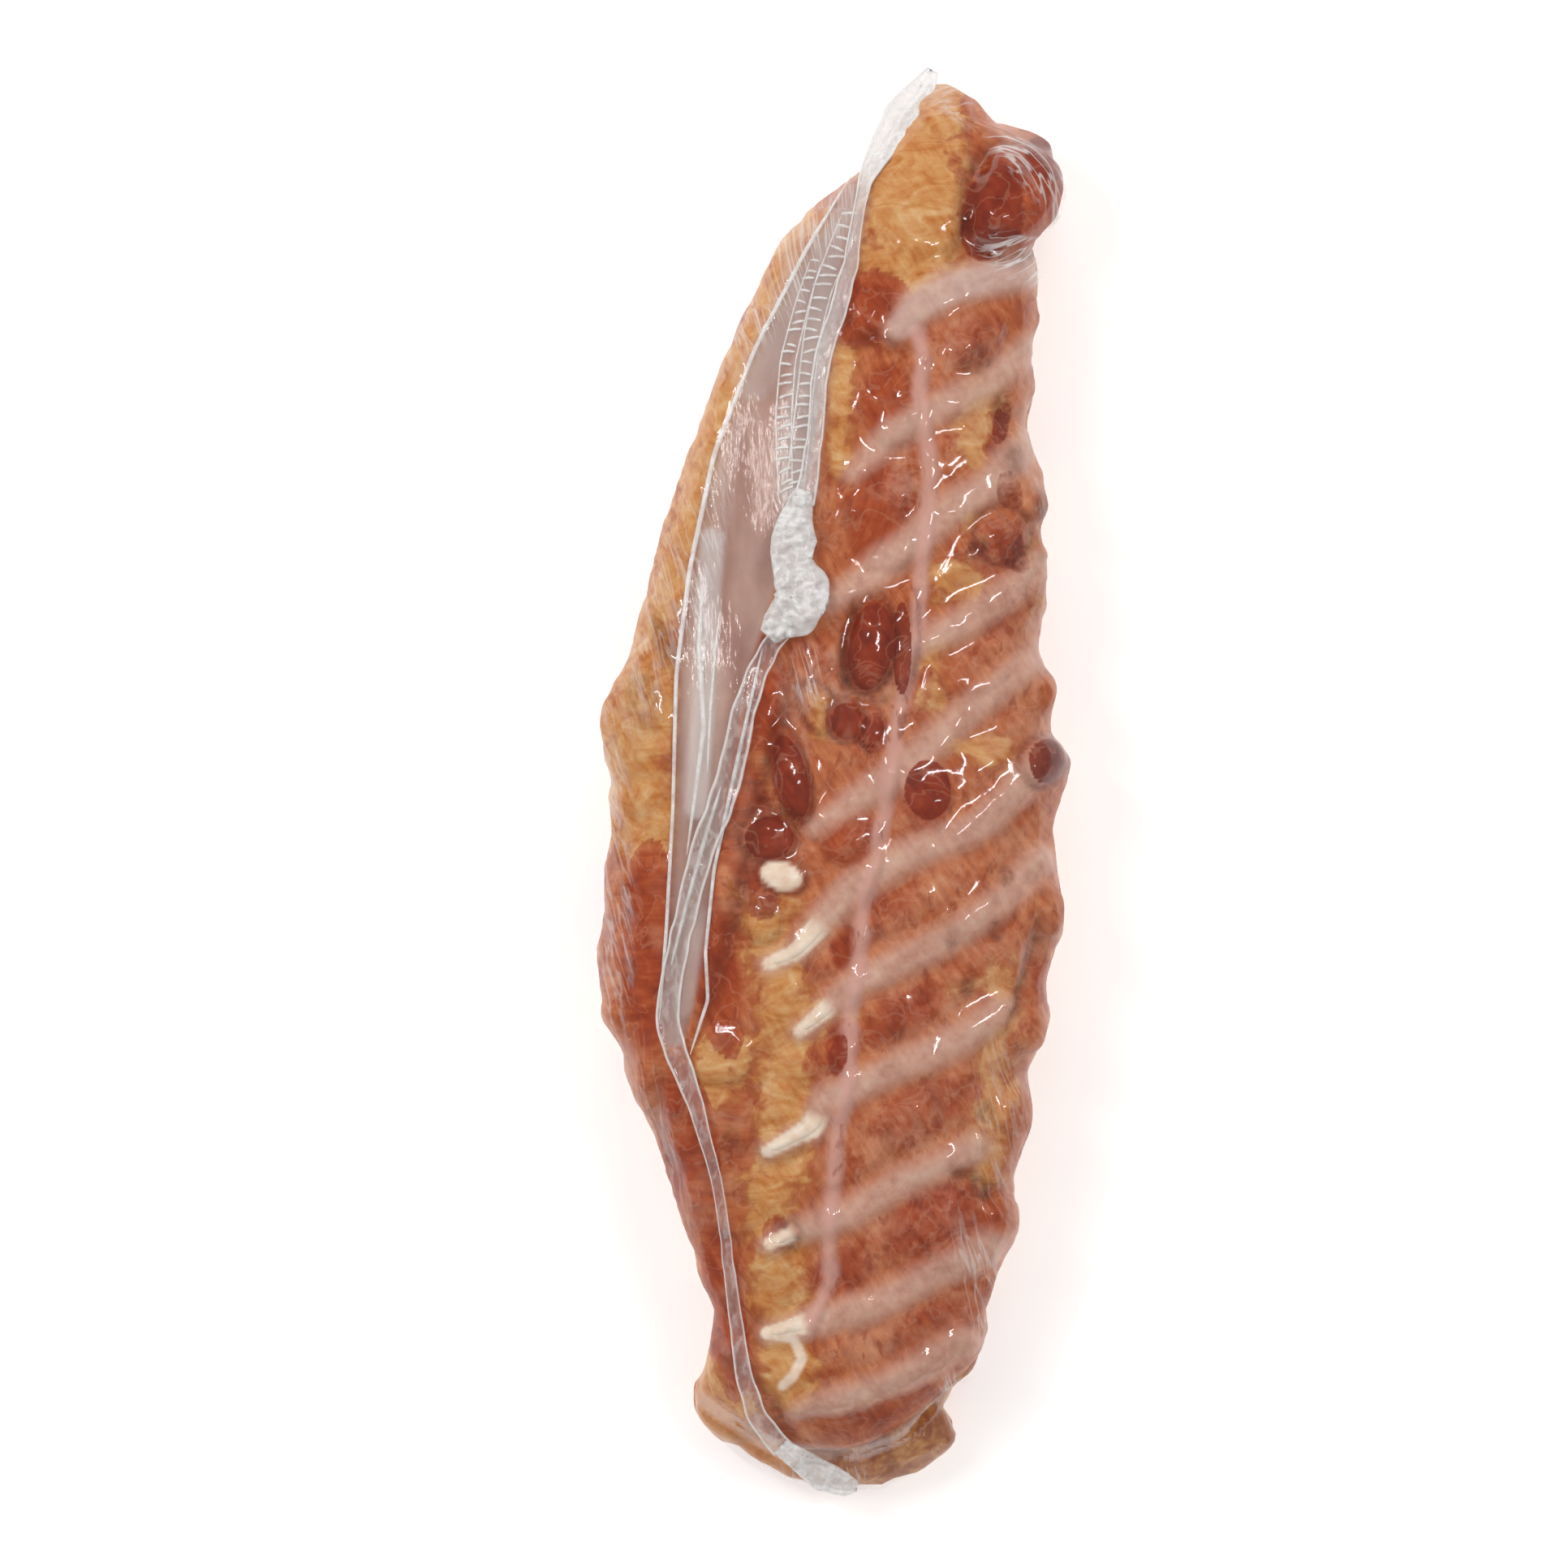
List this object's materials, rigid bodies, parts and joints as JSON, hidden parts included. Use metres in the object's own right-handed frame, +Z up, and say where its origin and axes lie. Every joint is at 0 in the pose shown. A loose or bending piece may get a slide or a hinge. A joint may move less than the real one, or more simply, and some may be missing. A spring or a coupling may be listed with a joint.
{
  "type": "vacuum-packed smoked pork rib slabs",
  "caption": "Two smoked pork rib slabs, one on the other with the ribs facing up, shrink-wrapped in a clear film bag with a folded seam down its front.",
  "frame": {"origin": "middle of the pack's underside, on the surface it rests on", "axes": "+Z up, out of the bone side; +Y along the pack towards the bag's mouth; +X across it, to the chine side"},
  "size_m": [0.139, 0.42, 0.0684],
  "materials": {
    "smoked_meat": "moist, marbled",
    "rib_bone": "satin",
    "shrink_film": "glossy, clear"
  },
  "bodies": {
    "root": {"front_rib_slab": "smoked_meat", "rear_rib_slab": "smoked_meat", "film_bag": "shrink_film", "film_seam": "shrink_film", "rib_bone_01": "rib_bone", "rib_bone_02": "rib_bone", "rib_bone_03": "rib_bone", "rib_bone_04": "rib_bone", "rib_bone_05": "rib_bone", "rib_bone_06": "rib_bone", "rib_bone_07": "rib_bone", "rib_bone_08": "rib_bone", "rib_bone_09": "rib_bone", "rib_bone_10": "rib_bone", "rib_bone_11": "rib_bone"}
  },
  "joints": []
}
